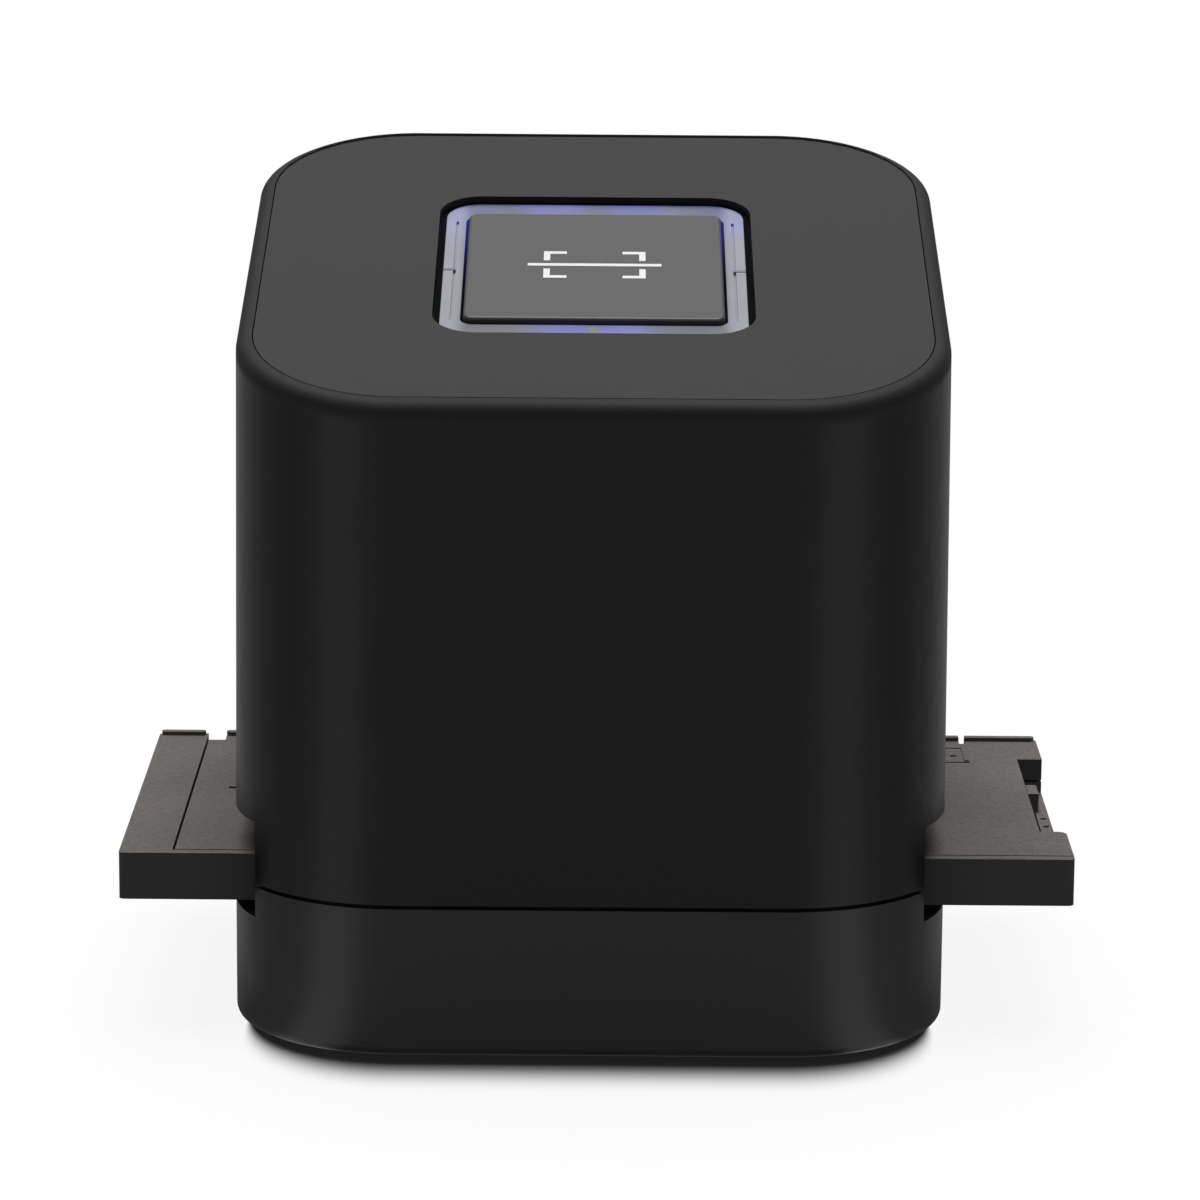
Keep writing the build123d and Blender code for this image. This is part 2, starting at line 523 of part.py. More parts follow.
with BuildPart() as holder_lid:
    length = TRAY_RIGHT - LID_LEFT
    depth = TRAY_D - RIM_W - LID_GAP
    block(length, depth, LID_LOW, TRAY_TOP, ((TRAY_RIGHT + LID_LEFT) / 2, (RIM_W + LID_GAP) / 2))
    fillet(holder_lid.edges().filter_by(Axis.Z).group_by(Axis.X)[-1].sort_by(Axis.Y)[-1], radius=0.8)
    for side in (-1, 1):
        middle = (side * SLIDE_PITCH / 2, 0)
        block(WINDOW_X, WINDOW_Y, LID_LOW, TRAY_TOP, middle, 0.8, mode=Mode.SUBTRACT)
        slit = (TONGUE_END - 4.5, TONGUE_Y + side * TONGUE_HALF)
        block(9.0, 0.5, LID_LOW, TRAY_TOP, slit, mode=Mode.SUBTRACT)
    rib_low = LID_LEFT + NOTCH_W
    rib_high = TRAY_RIGHT - RIB_INSET
    rib_mid = ((rib_low + rib_high) / 2, rib_y)
    block(rib_high - rib_low, RIB_W, TRAY_TOP, TRAY_TOP + RIB_H, rib_mid, 0.5)
    click = (CLICK_X, TRAY_REAR - CLICK_DEPTH / 2)
    block(CLICK_W, CLICK_DEPTH, LID_LOW, TRAY_TOP + RIB_H, click, mode=Mode.SUBTRACT)
    notch = (LID_LEFT + NOTCH_W / 2, TRAY_REAR - NOTCH_DEPTH / 2)
    block(NOTCH_W, NOTCH_DEPTH, LID_LOW, TRAY_TOP, notch, mode=Mode.SUBTRACT)
    block(0.6, 2 * TONGUE_HALF - 0.8, TRAY_TOP, TRAY_TOP + 0.2, (TONGUE_END - 0.4, TONGUE_Y))
    drum(0.5, LID_LOW, TRAY_TOP, [(TONGUE_END - 2.0, TONGUE_Y - 0.4)], mode=Mode.SUBTRACT)
    grip = (TRAY_RIGHT, grip_y)
    block(2 * GRIP_DEPTH, grip_w, LID_LOW, TRAY_TOP, grip, mode=Mode.SUBTRACT)
    grip_corner = (TRAY_RIGHT, GRIP_FRONT, (LID_LOW + TRAY_TOP) / 2)
    fillet(holder_lid.edges().filter_by(Axis.Z).sort_by_distance(grip_corner)[0], radius=1.2)
    block(3.4, 1.0, TRAY_TOP - 0.6, TRAY_TOP, (-45.0, 1.7), mode=Mode.SUBTRACT)
    pocket = (HINGE_X, FRONT_EAR)
    block(EAR_W + 1.0, EAR_T + 0.8, LID_LOW, TRAY_TOP - 0.5, pocket, mode=Mode.SUBTRACT)
    with BuildSketch(Plane.XZ.offset(-TRAY_REAR)):
        with Locations((HINGE_X, HINGE_Z)):
            Circle(HINGE_R + LID_GAP)
    extrude(amount=TRAY_D - RIM_W - LID_GAP - 0.8, mode=Mode.SUBTRACT)
save(holder_lid.part, "holder_lid")
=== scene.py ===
"""Looks of a desktop slide scanner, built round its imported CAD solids.

Metres, +Z up, front towards -Y. Each operator dresses one group of pieces.
"""

import math

import bmesh
import bpy
from bpy.props import FloatProperty, FloatVectorProperty, PointerProperty
from mathutils import Matrix, Vector


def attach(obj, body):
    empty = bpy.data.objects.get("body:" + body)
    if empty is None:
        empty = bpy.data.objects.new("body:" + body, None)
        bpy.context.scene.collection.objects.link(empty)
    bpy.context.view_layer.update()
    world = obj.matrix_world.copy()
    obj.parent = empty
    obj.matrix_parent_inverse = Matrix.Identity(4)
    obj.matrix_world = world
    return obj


bl_info = {
    "name": "Slide Scanner Looks",
    "version": (1, 0, 0),
    "blender": (4, 5, 0),
    "location": "View3D > Sidebar > Scanner",
    "description": "Finishes, printed mark and studio for a desktop slide scanner",
    "category": "Object",
}

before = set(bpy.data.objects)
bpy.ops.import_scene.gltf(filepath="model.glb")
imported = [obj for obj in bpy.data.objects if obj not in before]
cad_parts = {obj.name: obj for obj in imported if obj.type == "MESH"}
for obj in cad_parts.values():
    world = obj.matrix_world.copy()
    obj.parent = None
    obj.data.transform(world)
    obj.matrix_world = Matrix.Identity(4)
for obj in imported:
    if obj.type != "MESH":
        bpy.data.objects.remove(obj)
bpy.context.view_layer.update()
MM = 0.001
WHITE = (1, 1, 1)

# The body's plan and the sloped top, in millimetres; heights are measured out of the slope.
BODY_HALF_X = 44.0
BODY_HALF_Y = 43.0
BODY_CORNER = 20.5
PANEL_INSET = 2.55
BUTTON_SHIFT = -1.3
BUTTON_TOP = -0.25
RING_TOP = -1.0
TILT = math.radians(14.5)
TOP_MIDDLE = Vector((0, 0, 92.4 * MM))
TOP_RIGHT = Vector((1, 0, 0))
TOP_BACK = Vector((0, math.cos(TILT), math.sin(TILT)))
TOP_OUT = Vector((0, -math.sin(TILT), math.cos(TILT)))


def on_top(x, back, out):
    """A point on the sloped top, from millimetres across, up the slope and out of it."""
    return TOP_MIDDLE + (TOP_RIGHT * x + TOP_BACK * (back + BUTTON_SHIFT) + TOP_OUT * out) * MM


class Wire:
    """A socket in a finish's node tree; arithmetic on it adds Math nodes."""

    def __init__(self, finish, socket):
        self.finish = finish
        self.socket = socket

    def _math(self, operation, first, second):
        return self.finish.node("ShaderNodeMath", {"operation": operation}, {0: first, 1: second})

    def __add__(self, other):
        return self._math("ADD", self, other)

    def __radd__(self, other):
        return self._math("ADD", other, self)

    def __sub__(self, other):
        return self._math("SUBTRACT", self, other)

    def __rsub__(self, other):
        return self._math("SUBTRACT", other, self)

    def __mul__(self, other):
        return self._math("MULTIPLY", self, other)

    def __rmul__(self, other):
        return self._math("MULTIPLY", other, self)

    def __truediv__(self, other):
        return self._math("DIVIDE", self, other)

    def __rtruediv__(self, other):
        return self._math("DIVIDE", other, self)

    def __pow__(self, other):
        return self._math("POWER", self, other)


class Finish:
    """One material with its node tree and a Principled shader."""

    def __init__(self, name):
        self.material = bpy.data.materials.new(name)
        self.material.use_nodes = True
        self.tree = self.material.node_tree
        self.shader = self.tree.nodes["Principled BSDF"]
        self.place = self.node("ShaderNodeTexCoord", output="Object")

    def node(self, kind, settings=None, inputs=None, output=0):
        made = self.tree.nodes.new(kind)
        for key, value in (settings or {}).items():
            if key == "stops":
                ramp = made.color_ramp.elements
                while len(ramp) < len(value):
                    ramp.new(0.5)
                for stop, (position, colour) in zip(ramp, value):
                    stop.position = position
                    stop.color = (*colour, 1)
            else:
                setattr(made, key, value)
        for key, value in (inputs or {}).items():
            self.feed(made.inputs[key], value)
        return Wire(self, made.outputs[output])

    def feed(self, socket, value):
        if isinstance(value, Wire):
            self.tree.links.new(value.socket, socket)
        elif socket.type == "RGBA" and len(value) == 3:
            socket.default_value = (*value, 1)
        else:
            socket.default_value = value

    def surface(self, **values):
        for key, value in values.items():
            self.feed(self.shader.inputs[key.replace("_", " ").title().replace("Ior", "IOR")], value)
        return self.material

    def noise(self, scale, detail=2.0, rough=0.5):
        return self.node("ShaderNodeTexNoise", None,
                         {"Vector": self.place, "Scale": scale, "Detail": detail, "Roughness": rough})

    def cells(self, scale, output="Distance"):
        return self.node("ShaderNodeTexVoronoi", None, {"Vector": self.place, "Scale": scale}, output)

    def blend(self, factor, first, second):
        return self.node("ShaderNodeMix", {"data_type": "RGBA"}, {0: factor, 6: first, 7: second}, 2)

    def ramp(self, factor, *stops):
        return self.node("ShaderNodeValToRGB", {"stops": stops}, {0: factor})

    def bump(self, height, strength, depth):
        return self.node("ShaderNodeBump", None,
                         {"Strength": strength, "Distance": depth, "Height": height})

    def size(self, value):
        return self.node("ShaderNodeMath", {"operation": "ABSOLUTE"}, {0: value})

    def above(self, value):
        return self.node("ShaderNodeMath", {"operation": "MAXIMUM"}, {0: value, 1: 0.0})

    def axis(self, vector, letter):
        return self.node("ShaderNodeSeparateXYZ", None, {0: vector}, letter)

    def ray(self, kind):
        return self.node("ShaderNodeLightPath", output=kind)

    def ease(self, value, start, full):
        """From 0 at start to 1 at full, without a corner."""
        return self.node("ShaderNodeMapRange", {"interpolation_type": "SMOOTHSTEP"},
                         {"Value": value, 1: start, 2: full})

    def measure(self, operation, point):
        return self.node("ShaderNodeVectorMath", {"operation": operation},
                         {0: self.place, 1: point}, "Value")

    def near(self, point):
        return self.measure("DISTANCE", point)

    def below_top(self):
        """How far a point lies under the plane of the sloped top."""
        return TOP_MIDDLE.dot(TOP_OUT) - self.measure("DOT_PRODUCT", TOP_OUT)


def shade(colour, factor):
    """A colour made lighter or darker."""
    return tuple(min(1.0, c * factor) for c in colour)


def moulded(name, colour, rough, grain=2200.0, strength=0.12, level=0.5, rim=0.0):
    """Injection-moulded plastic: tone drift, fine grain and uneven gloss, duller at the top's rim."""
    finish = Finish(name)
    drift = finish.noise(28.0, 3.0)
    fine = finish.noise(grain, 2.0, 0.6)
    tone = finish.blend(drift, shade(colour, 0.88), shade(colour, 1.12))
    gloss = rough - 0.05 + drift * 0.06 + fine * 0.04
    if rim:
        gloss = gloss + finish.ease(finish.below_top(), 2.6 * MM, 1.2 * MM) * rim
    return finish.surface(base_color=tone, roughness=gloss, specular_ior_level=level,
                          normal=finish.bump(fine, strength, 0.04 * MM))


def painted_gap_shade(name):
    """Black for strips of painted shade in deep gaps, with hardly any gloss."""
    return moulded(name, (0.002, 0.002, 0.002), 0.85, level=0.03)


def sparked(name, colour, side, rough, grain, strength, level):
    """Plastic from a spark-eroded mould: grainy above and below, smooth at the sides, which take a
    darker colour as painted shade.
    """
    finish = Finish(name)
    facing = finish.node("ShaderNodeNewGeometry", output="Normal")
    flat = finish.ease(finish.size(finish.axis(facing, "Z")), 0.25, 0.8)
    speck = finish.noise(grain, 3.0, 0.65)
    pit = finish.cells(grain * 0.55)
    drift = finish.noise(40.0, 2.0)
    mask = speck * 0.7 + drift * 0.3
    grains = finish.ramp(mask, (0.30, shade(colour, 0.62)), (0.52, colour), (0.74, shade(colour, 1.45)))
    # Painted shade: the smooth sides take a darker copy of the colour.
    plain_side_shade = finish.blend(drift, shade(side, 0.94), shade(side, 1.06))
    height = (speck + pit * 0.8) * (flat * 0.85 + 0.15)
    return finish.surface(base_color=finish.blend(flat, plain_side_shade, grains), roughness=rough + speck * 0.14,
                          specular_ior_level=level, normal=finish.bump(height, strength, 0.12 * MM))


def plated(name, colour, rough):
    """Plated metal with faint drawing lines."""
    finish = Finish(name)
    lines = finish.noise(900.0, 4.0, 0.7)
    tone = finish.blend(lines, shade(colour, 0.8), shade(colour, 1.1))
    return finish.surface(base_color=tone, roughness=rough + lines * 0.12, metallic=1.0,
                          normal=finish.bump(lines, 0.08, 0.03 * MM))


def circuit(name, colour):
    """Solder mask over copper tracks."""
    finish = Finish(name)
    track = finish.node("ShaderNodeTexBrick", {"offset": 0.5},
                        {"Vector": finish.place, "Scale": 190.0, "Mortar Size": 0.06}, "Fac")
    drift = finish.noise(60.0)
    tone = finish.blend(track * 0.6 + drift * 0.2, colour, shade(colour, 2.2))
    return finish.surface(base_color=tone, roughness=0.38 + drift * 0.1,
                          normal=finish.bump(track, 0.15, 0.03 * MM))


def coated_glass(name, colour):
    """Optical glass with a faint coating tint."""
    finish = Finish(name)
    tint = finish.node("ShaderNodeLayerWeight", None, {"Blend": 0.4}, "Facing")
    tone = finish.blend(tint, colour, (0.55, 0.5, 0.85))
    return finish.surface(base_color=tone, roughness=0.03, transmission_weight=1.0, ior=1.52)


def lit_guide(name, colour, deep, glow, strength, lamps):
    """Frosted light guide: paler along its two sides, darker at the front and back as painted shade, lit
    near the lamps under it.
    """
    finish = Finish(name)
    frost = finish.noise(1500.0, 2.0, 0.6)
    drift = finish.noise(120.0, 2.0)
    light = 0.0
    for point, reach, share in lamps:
        fall = finish.near(point) / reach
        light = share / (1.0 + fall ** 4.0) + light
    across = finish.axis(finish.place, "X")
    # Painted shade: the front and back take the darker colour, the two sides the paler one.
    pale = finish.ease(across * across, (15.5 * MM) ** 2, (17.6 * MM) ** 2)
    body = finish.blend(pale, deep, colour)
    tone = finish.blend(drift * 0.16, body, (0.8, 0.8, 0.8))
    shine = finish.blend(light, shade(glow, 0.008), glow)
    return finish.surface(base_color=tone, roughness=0.42 + frost * 0.1, emission_color=shine,
                          emission_strength=strength, subsurface_weight=0.2,
                          subsurface_scale=1.5 * MM, normal=finish.bump(frost, 0.1, 0.03 * MM))


def lamp_cap(name, colour, strength):
    """Small lamp with a lit cap."""
    finish = Finish(name)
    drift = finish.noise(400.0)
    tone = finish.blend(drift, shade(colour, 0.85), colour)
    return finish.surface(base_color=tone, roughness=0.3 + drift * 0.1, emission_color=tone,
                          emission_strength=strength)


def dress(material, *names, angle=32.0):
    """Gives CAD nodes a finish and smooth shading between soft edges."""
    for name in names:
        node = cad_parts[name]
        node.data.materials.clear()
        node.data.materials.append(material)
        node.data.shade_smooth()
        node.data.set_sharp_from_angle(angle=math.radians(angle))


def welded(node):
    """Joins the CAD faces' shared edges, so that shading and bevels run over them."""
    weld = node.modifiers.new("weld", "WELD")
    weld.merge_threshold = 1e-6


def evened(node, weight=50):
    """Lets the large faces set the shading."""
    even = node.modifiers.new("even", "WEIGHTED_NORMAL")
    even.keep_sharp = True
    even.weight = weight


def rounded(name, width):
    """Softens a CAD node's outer edges as a mould does."""
    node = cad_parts[name]
    welded(node)
    edge = node.modifiers.new("edge", "BEVEL")
    edge.width = width
    edge.segments = 2
    edge.limit_method = "ANGLE"
    edge.angle_limit = math.radians(38.0)
    evened(node)


def even_normals(name):
    """Keeps wide curved walls free of facet shading."""
    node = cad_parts[name]
    welded(node)
    crease = node.modifiers.new("crease", "EDGE_SPLIT")
    crease.split_angle = math.radians(30.0)
    evened(node, 100)


def finished(name, form, material, body):
    """Turns a built form into a piece that rides on a body."""
    mesh = bpy.data.meshes.new(name)
    bmesh.ops.recalc_face_normals(form, faces=form.faces)
    form.to_mesh(mesh)
    form.free()
    mesh.materials.append(material)
    piece = bpy.data.objects.new(name, mesh)
    bpy.context.scene.collection.objects.link(piece)
    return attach(piece, body)


def raised(outlines, low, high):
    """Flat outlines on the sloped top, given a little height."""
    form = bmesh.new()
    for outline in outlines:
        lower = [form.verts.new(on_top(x, y, low)) for x, y in outline]
        upper = [form.verts.new(on_top(x, y, high)) for x, y in outline]
        form.faces.new(upper)
        form.faces.new(lower[::-1])
        for i in range(len(outline)):
            j = (i + 1) % len(outline)
            form.faces.new((lower[i], lower[j], upper[j], upper[i]))
    return form


def band(inner, outer, low, high, closed=True):
    """A flat band on the sloped top between two rows of points."""
    form = bmesh.new()
    rows = [[form.verts.new(on_top(x, y, out)) for x, y in points]
            for points, out in ((inner, low), (outer, low), (outer, high), (inner, high))]
    count = len(inner)
    for i in range(count if closed else count - 1):
        j = (i + 1) % count
        for k in range(4):
            first, second = rows[k], rows[(k + 1) % 4]
            form.faces.new((first[i], first[j], second[j], second[i]))
    if not closed:
        form.faces.new([row[0] for row in rows])
        form.faces.new([row[-1] for row in rows])
    return form


def oblong(x, y, half_x, half_y):
    """Corners of a rectangle round a middle."""
    signs = ((-1, -1), (1, -1), (1, 1), (-1, 1))
    return [(x + sx * half_x, y + sy * half_y) for sx, sy in signs]


def rounded_loop(half_x, half_y, radius, steps=9):
    """Points round a rectangle with rounded corners, from its right side towards its back."""
    points = []
    for corner, (sx, sy) in enumerate(((1, 1), (-1, 1), (-1, -1), (1, -1))):
        for i in range(steps):
            turn = math.radians(corner * 90 + i * 90 / (steps - 1))
            points.append((sx * (half_x - radius) + radius * math.cos(turn),
                           sy * (half_y - radius) + radius * math.sin(turn)))
    return points


class ScannerFinish(bpy.types.PropertyGroup):
    """Colours and gloss of the scanner's pieces."""

    housing: FloatVectorProperty(
        name="Housing", description="Satin black of both housing halves", subtype="COLOR",
        default=(0.0035, 0.0035, 0.0036), min=0, max=1)
    housing_rough: FloatProperty(
        name="Housing roughness", description="Gloss of the housing", subtype="FACTOR",
        default=0.33, min=0, max=1)
    housing_shine: FloatProperty(
        name="Housing shine", description="How much light the housing mirrors", subtype="FACTOR",
        default=0.25, min=0, max=1)
    panel: FloatVectorProperty(
        name="Top panel", description="Grained inset panel", subtype="COLOR",
        default=(0.0095, 0.0095, 0.0097), min=0, max=1)
    button: FloatVectorProperty(
        name="Button", description="Satin button cap", subtype="COLOR",
        default=(0.049, 0.049, 0.050), min=0, max=1)
    mark: FloatVectorProperty(
        name="Printed mark", description="Ink of the mark on the button", subtype="COLOR",
        default=(0.82, 0.82, 0.82), min=0, max=1)
    ring: FloatVectorProperty(
        name="Light ring", description="Frosted guide round the button", subtype="COLOR",
        default=(0.235, 0.243, 0.285), min=0, max=1)
    # Painted shade: the darker colour of the ring at its front and back.
    ring_painted_shade: FloatVectorProperty(
        name="Light ring, front and back", description="The same guide where less light leaves it",
        subtype="COLOR", default=(0.053, 0.059, 0.078), min=0, max=1)
    glow: FloatVectorProperty(
        name="Glow", description="Light in the ring", subtype="COLOR",
        default=(0.07, 0.08, 0.80), min=0, max=1)
    glow_strength: FloatProperty(
        name="Glow strength", description="How bright the ring is lit", default=0.42, min=0, max=10)
    holder: FloatVectorProperty(
        name="Slide holder", description="Grainy warm grey of the holder", subtype="COLOR",
        default=(0.146, 0.135, 0.126), min=0, max=1)
    # Painted shade: the darker colour of the holder's sides.
    holder_side_shade: FloatVectorProperty(
        name="Slide holder sides", description="The holder's smooth outer sides", subtype="COLOR",
        default=(0.088, 0.087, 0.086), min=0, max=1)
    holder_grain: FloatProperty(
        name="Holder grain", description="Grains per metre in the holder's surface",
        default=1900.0, min=100)


class ScannerStudio(bpy.types.PropertyGroup):
    """Camera and lamps."""

    distance: FloatProperty(name="Camera distance", subtype="DISTANCE", default=0.6558, min=0.1,
                            description="From the aim point to the camera")
    pitch: FloatProperty(name="Camera pitch", subtype="ANGLE", default=0.2173,
                         description="How far the camera looks down")
    roll: FloatProperty(name="Camera roll", subtype="ANGLE", default=0.0077,
                        description="Lean of the picture to the right")
    focal: FloatProperty(name="Focal length", default=5140.2 / 1200 * 36, min=10,
                         description="In millimetres on a sensor 36 mm wide")
    aim: FloatVectorProperty(name="Aim point", subtype="TRANSLATION", default=(0.0010, 0.0, 0.0485),
                             description="Point in the middle of the picture")
    key: FloatProperty(name="Overhead lamp", default=3.1, min=0,
                       description="Wide soft light from above")
    back: FloatProperty(name="Back lamp", subtype="POWER", default=0.7, min=0,
                        description="Soft board that the sloped top mirrors")
    side: FloatProperty(name="Side lamps", subtype="POWER", default=0.25, min=0,
                        description="Tall soft lamps left and right")
    sky: FloatProperty(name="Room light", default=0.06, min=0, description="Even light from all round")


class SCANNER_OT_housing(bpy.types.Operator):
    """Satin black upper and lower housing, feet and screws"""

    bl_idname = "scanner.housing"
    bl_label = "Housing"

    def execute(self, context):
        look = context.scene.scanner_finish
        black = moulded("satin_housing", look.housing, look.housing_rough, 2600.0, 0.10,
                        level=look.housing_shine, rim=0.36)
        dress(black, "upper_shell", angle=24.0)
        lower = moulded("satin_base", look.housing, look.housing_rough, 2600.0, 0.10,
                        level=look.housing_shine * 1.6)
        dress(lower, "base_shell", angle=24.0)
        for name in ("upper_shell", "base_shell"):
            even_normals(name)
        dress(moulded("foot_rubber", (0.018, 0.018, 0.018), 0.72, 1500.0, 0.3), "rubber_feet")
        dress(plated("screw_plating", (0.55, 0.55, 0.56), 0.3), "housing_screws")
        return {"FINISHED"}


class SCANNER_OT_top_panel(bpy.types.Operator):
    """Grained panel set into the sloped top, with a black strip of painted shade in the gap behind it"""

    bl_idname = "scanner.top_panel"
    bl_label = "Top panel"

    def execute(self, context):
        look = context.scene.scanner_finish
        dress(moulded("panel_grain", look.panel, 0.47, 3200.0, 0.22, level=0.16), "top_panel")
        # Painted shade: a black strip stands in for the shade in the gap at the panel's back.
        form = self.rear_gap_shade(0.1, 0.7)
        finished("panel_gap_painted_shade", form, painted_gap_shade("painted_gap_shade"), "housing")
        return {"FINISHED"}

    def rear_gap_shade(self, thin, thick):
        """A black strip of painted shade in the gap behind the panel, thin at the sides and thicker at
        the back.
        """
        corner = BODY_CORNER - PANEL_INSET
        loop = rounded_loop(BODY_HALF_X - PANEL_INSET, BODY_HALF_Y - PANEL_INSET, corner)
        outer, inner = [], []
        for x, y in loop[:len(loop) // 2]:
            turned = (y - BODY_HALF_Y + BODY_CORNER) / corner
            back = y / math.cos(TILT) - BUTTON_SHIFT
            outer.append((x, back))
            inner.append((x, back - thin - (thick - thin) * turned))
        return band(inner, outer, -0.4, 0.02, closed=False)


class SCANNER_OT_light_ring(bpy.types.Operator):
    """Frosted light ring with small raised marks, a black band of painted shade round its outer edge,
    and the lamps under it
    """

    bl_idname = "scanner.light_ring"
    bl_label = "Light ring"

    def execute(self, context):
        look = context.scene.scanner_finish
        spots = ((3.6, -19.2, 3.4, 0.8), (5.4, 20.0, 4.0, 0.6), (18.5, 17.0, 6.0, 0.4))
        lamps = [(on_top(side * x, back, RING_TOP), reach * MM, share)
                 for x, back, reach, share in spots for side in (-1, 1)]
        guide = lit_guide("frosted_guide", look.ring, look.ring_painted_shade,
                          look.glow, look.glow_strength, lamps)
        dress(guide, "light_ring")
        # Small raised marks at the ring's two sides and front, in a darker lavender grey than the ring's
        # sides.
        stops = [oblong(x, 0.0, 0.8, 0.3) for x in (-18.2, 18.2)] + [oblong(0.0, -19.0, 0.6, 1.4)]
        ink = moulded("ring_mark_tone", (0.17, 0.175, 0.22), 0.6)
        form = raised(stops, RING_TOP - 0.2, RING_TOP + 0.06)
        finished("ring_marks", form, ink, "housing")
        # Painted shade: a black band round the ring's outer edge stands in for the shade in the gap
        # beside it.
        form = band(rounded_loop(19.0, 21.25, 4.4), rounded_loop(19.8, 21.5, 5.2),
                    RING_TOP - 0.3, RING_TOP + 0.08)
        finished("ring_gap_painted_band", form, painted_gap_shade("ring_gap_painted_shade"), "housing")
        dress(lamp_cap("blue_lamp", (0.35, 0.4, 0.95), 0.6), "ring_leds")
        return {"FINISHED"}


class SCANNER_OT_button(bpy.types.Operator):
    """Satin button cap with a printed scan mark, and the switch it presses"""

    bl_idname = "scanner.button"
    bl_label = "Button"

    def execute(self, context):
        look = context.scene.scanner_finish
        dress(moulded("button_satin", look.button, 0.33, 3000.0, 0.12, level=0.36), "scan_button")
        arm, thick, half_x, half_y = 2.9, 0.8, 6.4, 4.2
        outlines = []
        for sx in (-1, 1):
            for sy in (-1, 1):
                x, y = sx * half_x, sy * half_y
                far_x, far_y = x - sx * arm, y - sy * arm
                in_x, in_y = x - sx * thick, y - sy * thick
                outlines.append([(x, y), (far_x, y), (far_x, in_y),
                                 (in_x, in_y), (in_x, far_y), (x, far_y)])
        outlines.append(oblong(0.0, 0.0, 8.4, thick / 2))
        form = raised(outlines, BUTTON_TOP - 0.05, BUTTON_TOP + 0.03)
        ink = moulded("mark_ink", look.mark, 0.5, 4000.0, 0.1)
        finished("scan_mark", form, ink, "scan_button")
        dress(moulded("switch_black", (0.03, 0.03, 0.03), 0.45), "tact_switch", "switch_plunger")
        return {"FINISHED"}


class SCANNER_OT_holder(bpy.types.Operator):
    """Grainy slide holder with its lid and hinge pin"""

    bl_idname = "scanner.holder"
    bl_label = "Slide holder"

    def execute(self, context):
        look = context.scene.scanner_finish
        halves = ("holder_base", "holder_lid")
        grain = sparked("holder_grain", look.holder, look.holder_side_shade, 0.55, look.holder_grain, 0.5, 0.1)
        dress(grain, *halves)
        for name in halves:
            rounded(name, 0.3 * MM)
        dress(plated("pin_steel", (0.6, 0.6, 0.61), 0.28), "hinge_pin")
        return {"FINISHED"}


class SCANNER_OT_optics(bpy.types.Operator):
    """Film channel, backlight and camera inside the body"""

    bl_idname = "scanner.optics"
    bl_label = "Optics"

    def execute(self, context):
        dark = moulded("light_trap_black", (0.014, 0.014, 0.014), 0.75, 1600.0, 0.3)
        dress(dark, "film_channel", "film_gate", "optics_tower", "lens_holder")
        dress(plated("spring_steel", (0.6, 0.6, 0.6), 0.25), "detent_springs")
        dress(moulded("opal_sheet", (0.82, 0.82, 0.8), 0.5), "diffuser")
        dress(moulded("reflector_white", (0.85, 0.85, 0.85), 0.35), "light_box")
        dress(lamp_cap("white_lamp", (0.9, 0.88, 0.72), 0.4), "backlight_leds")
        dress(plated("anodised_black", (0.04, 0.04, 0.04), 0.4), "lens_barrel")
        dress(coated_glass("lens_glass", (0.9, 0.95, 1.0)), "lens_elements")
        return {"FINISHED"}


class SCANNER_OT_boards(bpy.types.Operator):
    """Circuit boards, their chips, sockets, ribbon and screws"""

    bl_idname = "scanner.boards"
    bl_label = "Boards"

    def execute(self, context):
        dress(circuit("solder_mask", (0.018, 0.085, 0.04)),
              "button_board", "backlight_board", "sensor_board", "main_board")
        dress(moulded("chip_black", (0.02, 0.02, 0.022), 0.45),
              "board_chips", "image_sensor", "ribbon_sockets")
        dress(moulded("ribbon_white", (0.72, 0.72, 0.7), 0.4), "sensor_ribbon")
        dress(plated("socket_plating", (0.62, 0.61, 0.6), 0.24), "usb_socket")
        dress(plated("board_screw_plating", (0.5, 0.5, 0.5), 0.3),
              "board_screws", "sensor_screws", "button_board_screws")
        return {"FINISHED"}


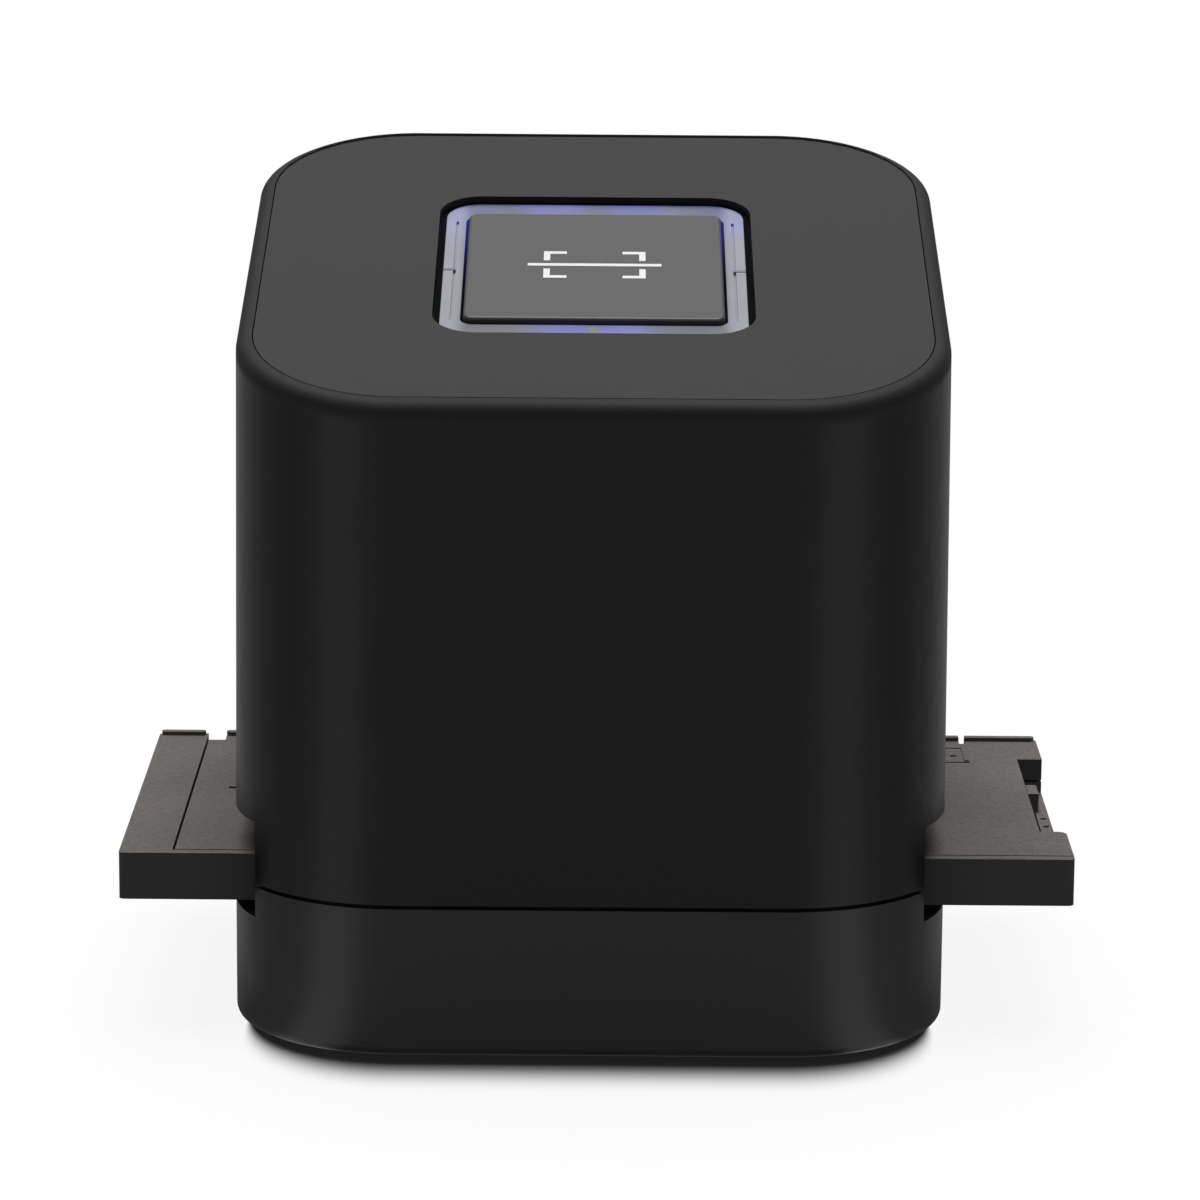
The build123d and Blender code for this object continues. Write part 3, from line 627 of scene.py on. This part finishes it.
class SCANNER_OT_stage(bpy.types.Operator):
    """Pale floor, soft lamps and the camera"""

    bl_idname = "scanner.stage"
    bl_label = "Stage"

    def execute(self, context):
        studio = context.scene.scanner_studio
        self.floor()
        self.room(context.scene, studio.sky)
        self.sun("overhead", (-0.02, 0.18, 1.0), studio.key, 54.0)
        self.lamp("back_board", (0.0, 0.82, 0.80), (0, 0, 0.09), 1.10, 0.55, studio.back)
        for name, side in (("left_strip", -1), ("right_strip", 1)):
            self.lamp(name, (side * 0.52, -0.46, 0.30), (side * 0.02, 0, 0.06), 0.14, 0.60, studio.side)
        self.camera(context.scene, studio)
        context.scene.view_settings.view_transform = "Standard"
        return {"FINISHED"}

    def floor(self):
        mesh = bpy.data.meshes.new("floor")
        size = 4.0
        low = -0.05 * MM
        corners = [(-size, -size, low), (size, -size, low), (size, size, low), (-size, size, low)]
        mesh.from_pydata(corners, [], [(0, 1, 2, 3)])
        finish = Finish("floor_white")
        paper = finish.noise(6.0)
        seen = finish.ray("Is Camera Ray")
        glossy = finish.ray("Is Glossy Ray")
        through = finish.ray("Is Transmission Ray")
        across = finish.axis(finish.place, "X")
        ahead = finish.axis(finish.place, "Y")
        # The floor carries a painted contact shadow and a painted reflection that only gloss sees.
        clear, painted_reflection = self.round_base(finish, across, ahead)
        path = seen + glossy * painted_reflection + through
        pale = finish.blend(paper, (0.92, 0.92, 0.92), (0.95, 0.95, 0.95))
        # Painted contact shadow: the floor goes near black round the base, paper grey beyond it.
        paper_and_contact_shadow = finish.blend(clear, (0.06, 0.06, 0.06), pale)
        finish.surface(base_color=finish.blend(path, (0.12, 0.12, 0.12), paper_and_contact_shadow), roughness=0.9,
                       specular_ior_level=0.0)
        white = finish.node("ShaderNodeEmission", None, {"Color": WHITE, "Strength": 1.0})
        lit = path * (glossy + (1.0 - glossy) * (clear * 0.988 + 0.012)) * 0.90
        mixed = finish.node("ShaderNodeMixShader", None,
                            {0: lit, 1: Wire(finish, finish.shader.outputs[0]), 2: white})
        finish.tree.links.new(mixed.socket, finish.tree.nodes["Material Output"].inputs[0])
        mesh.materials.append(finish.material)
        floor = bpy.data.objects.new("floor", mesh)
        bpy.context.scene.collection.objects.link(floor)

    def round_base(self, finish, across, ahead):
        """How clear of the painted contact shadow the floor is, and how bright it looks in the housing's
        gloss, a painted reflection.
        """
        straight_x = (BODY_HALF_X - BODY_CORNER) * MM
        straight_y = (BODY_HALF_Y - BODY_CORNER) * MM
        beyond_x = finish.above(finish.size(across) - straight_x)
        beyond_y = finish.above(finish.size(ahead) - straight_y)
        forward = -1.0 * ahead - straight_y
        reach = (beyond_x * beyond_x + beyond_y * beyond_y) ** 0.5
        lean = finish.above(forward) / (reach + 0.01 * MM)
        front = lean * lean
        shadow_edge = front * (1.2 * MM) + 18.8 * MM
        softness = front * (11.9 * MM) + 0.4 * MM
        clear = finish.ease((reach - shadow_edge) / softness, -0.05, 0.95)
        # Painted reflection: brighter in two streaks towards the front corners, dimmer to the sides and
        # darker near the base.
        gloss_contact_shade = finish.ease(reach, BODY_CORNER * MM, (BODY_CORNER + 3.0) * MM) * 0.4 + 0.6
        turn = finish.node("ShaderNodeMath", {"operation": "ARCTAN2"}, {0: beyond_x, 1: forward})
        painted_streak = finish.ease(turn, 0.32, 0.56) * finish.ease(turn, 1.00, 0.74)
        painted_reflection = (0.27 + painted_streak * 0.83 - finish.ease(turn, 1.0, 1.4) * 0.13) * gloss_contact_shade
        return clear, painted_reflection

    def room(self, scene, strength):
        world = bpy.data.worlds.new("room")
        world.use_nodes = True
        tree = world.node_tree
        path = tree.nodes.new("ShaderNodeLightPath")
        back = tree.nodes["Background"]
        back.inputs[0].default_value = (*WHITE, 1)
        level = strength
        steps = (("Is Glossy Ray", 0.45), ("Is Transmission Ray", 1.0), ("Is Camera Ray", 1.0))
        for ray, bright in steps:
            pick = tree.nodes.new("ShaderNodeMix")
            tree.links.new(path.outputs[ray], pick.inputs[0])
            if isinstance(level, float):
                pick.inputs[2].default_value = level
            else:
                tree.links.new(level, pick.inputs[2])
            pick.inputs[3].default_value = bright
            level = pick.outputs[0]
        tree.links.new(level, back.inputs[1])
        scene.world = world

    def sun(self, name, source, power, angle):
        data = bpy.data.lights.new(name, "SUN")
        data.energy = power
        data.angle = math.radians(angle)
        sun = bpy.data.objects.new(name, data)
        sun.rotation_euler = (-Vector(source)).to_track_quat("-Z", "Y").to_euler()
        bpy.context.scene.collection.objects.link(sun)

    def lamp(self, name, place, aim, width, height, power):
        data = bpy.data.lights.new(name, "AREA")
        data.shape = "RECTANGLE"
        data.size = width
        data.size_y = height
        data.energy = power
        lamp = bpy.data.objects.new(name, data)
        lamp.location = place
        lamp.rotation_euler = (Vector(aim) - Vector(place)).to_track_quat("-Z", "Y").to_euler()
        bpy.context.scene.collection.objects.link(lamp)

    def camera(self, scene, studio):
        data = bpy.data.cameras.new("camera")
        data.sensor_fit = "HORIZONTAL"
        data.sensor_width = 36.0
        data.lens = studio.focal
        data.clip_start = 0.01
        ahead = Vector((0, math.cos(studio.pitch), -math.sin(studio.pitch)))
        above = Vector((0, math.sin(studio.pitch), math.cos(studio.pitch)))
        across = Vector((1, 0, 0))
        right = across * math.cos(studio.roll) + above * math.sin(studio.roll)
        up = above * math.cos(studio.roll) - across * math.sin(studio.roll)
        turn = Matrix((right, up, -ahead)).transposed().to_4x4()
        camera = bpy.data.objects.new("camera", data)
        camera.matrix_world = Matrix.Translation(Vector(studio.aim) - ahead * studio.distance) @ turn
        scene.collection.objects.link(camera)
        scene.camera = camera


class SCANNER_PT_panel(bpy.types.Panel):
    """The scanner's finishes and steps"""

    bl_idname = "SCANNER_PT_panel"
    bl_label = "Slide Scanner"
    bl_space_type = "VIEW_3D"
    bl_region_type = "UI"
    bl_category = "Scanner"

    def draw(self, context):
        layout = self.layout
        for group in (context.scene.scanner_finish, context.scene.scanner_studio):
            for key in group.bl_rna.properties.keys():
                if key not in ("rna_type", "name"):
                    layout.prop(group, key)
        for step in STEPS:
            layout.operator(step.bl_idname)


STEPS = (
    SCANNER_OT_housing, SCANNER_OT_top_panel, SCANNER_OT_light_ring, SCANNER_OT_button,
    SCANNER_OT_holder, SCANNER_OT_optics, SCANNER_OT_boards, SCANNER_OT_stage,
)
CLASSES = (ScannerFinish, ScannerStudio, *STEPS, SCANNER_PT_panel)


def register():
    for each in CLASSES:
        bpy.utils.register_class(each)
    bpy.types.Scene.scanner_finish = PointerProperty(type=ScannerFinish)
    bpy.types.Scene.scanner_studio = PointerProperty(type=ScannerStudio)


def unregister():
    del bpy.types.Scene.scanner_studio
    del bpy.types.Scene.scanner_finish
    for each in reversed(CLASSES):
        bpy.utils.unregister_class(each)


def main():
    register()
    for step in STEPS:
        group, name = step.bl_idname.split(".")
        getattr(getattr(bpy.ops, group), name)()


if __name__ == "__main__":
    main()
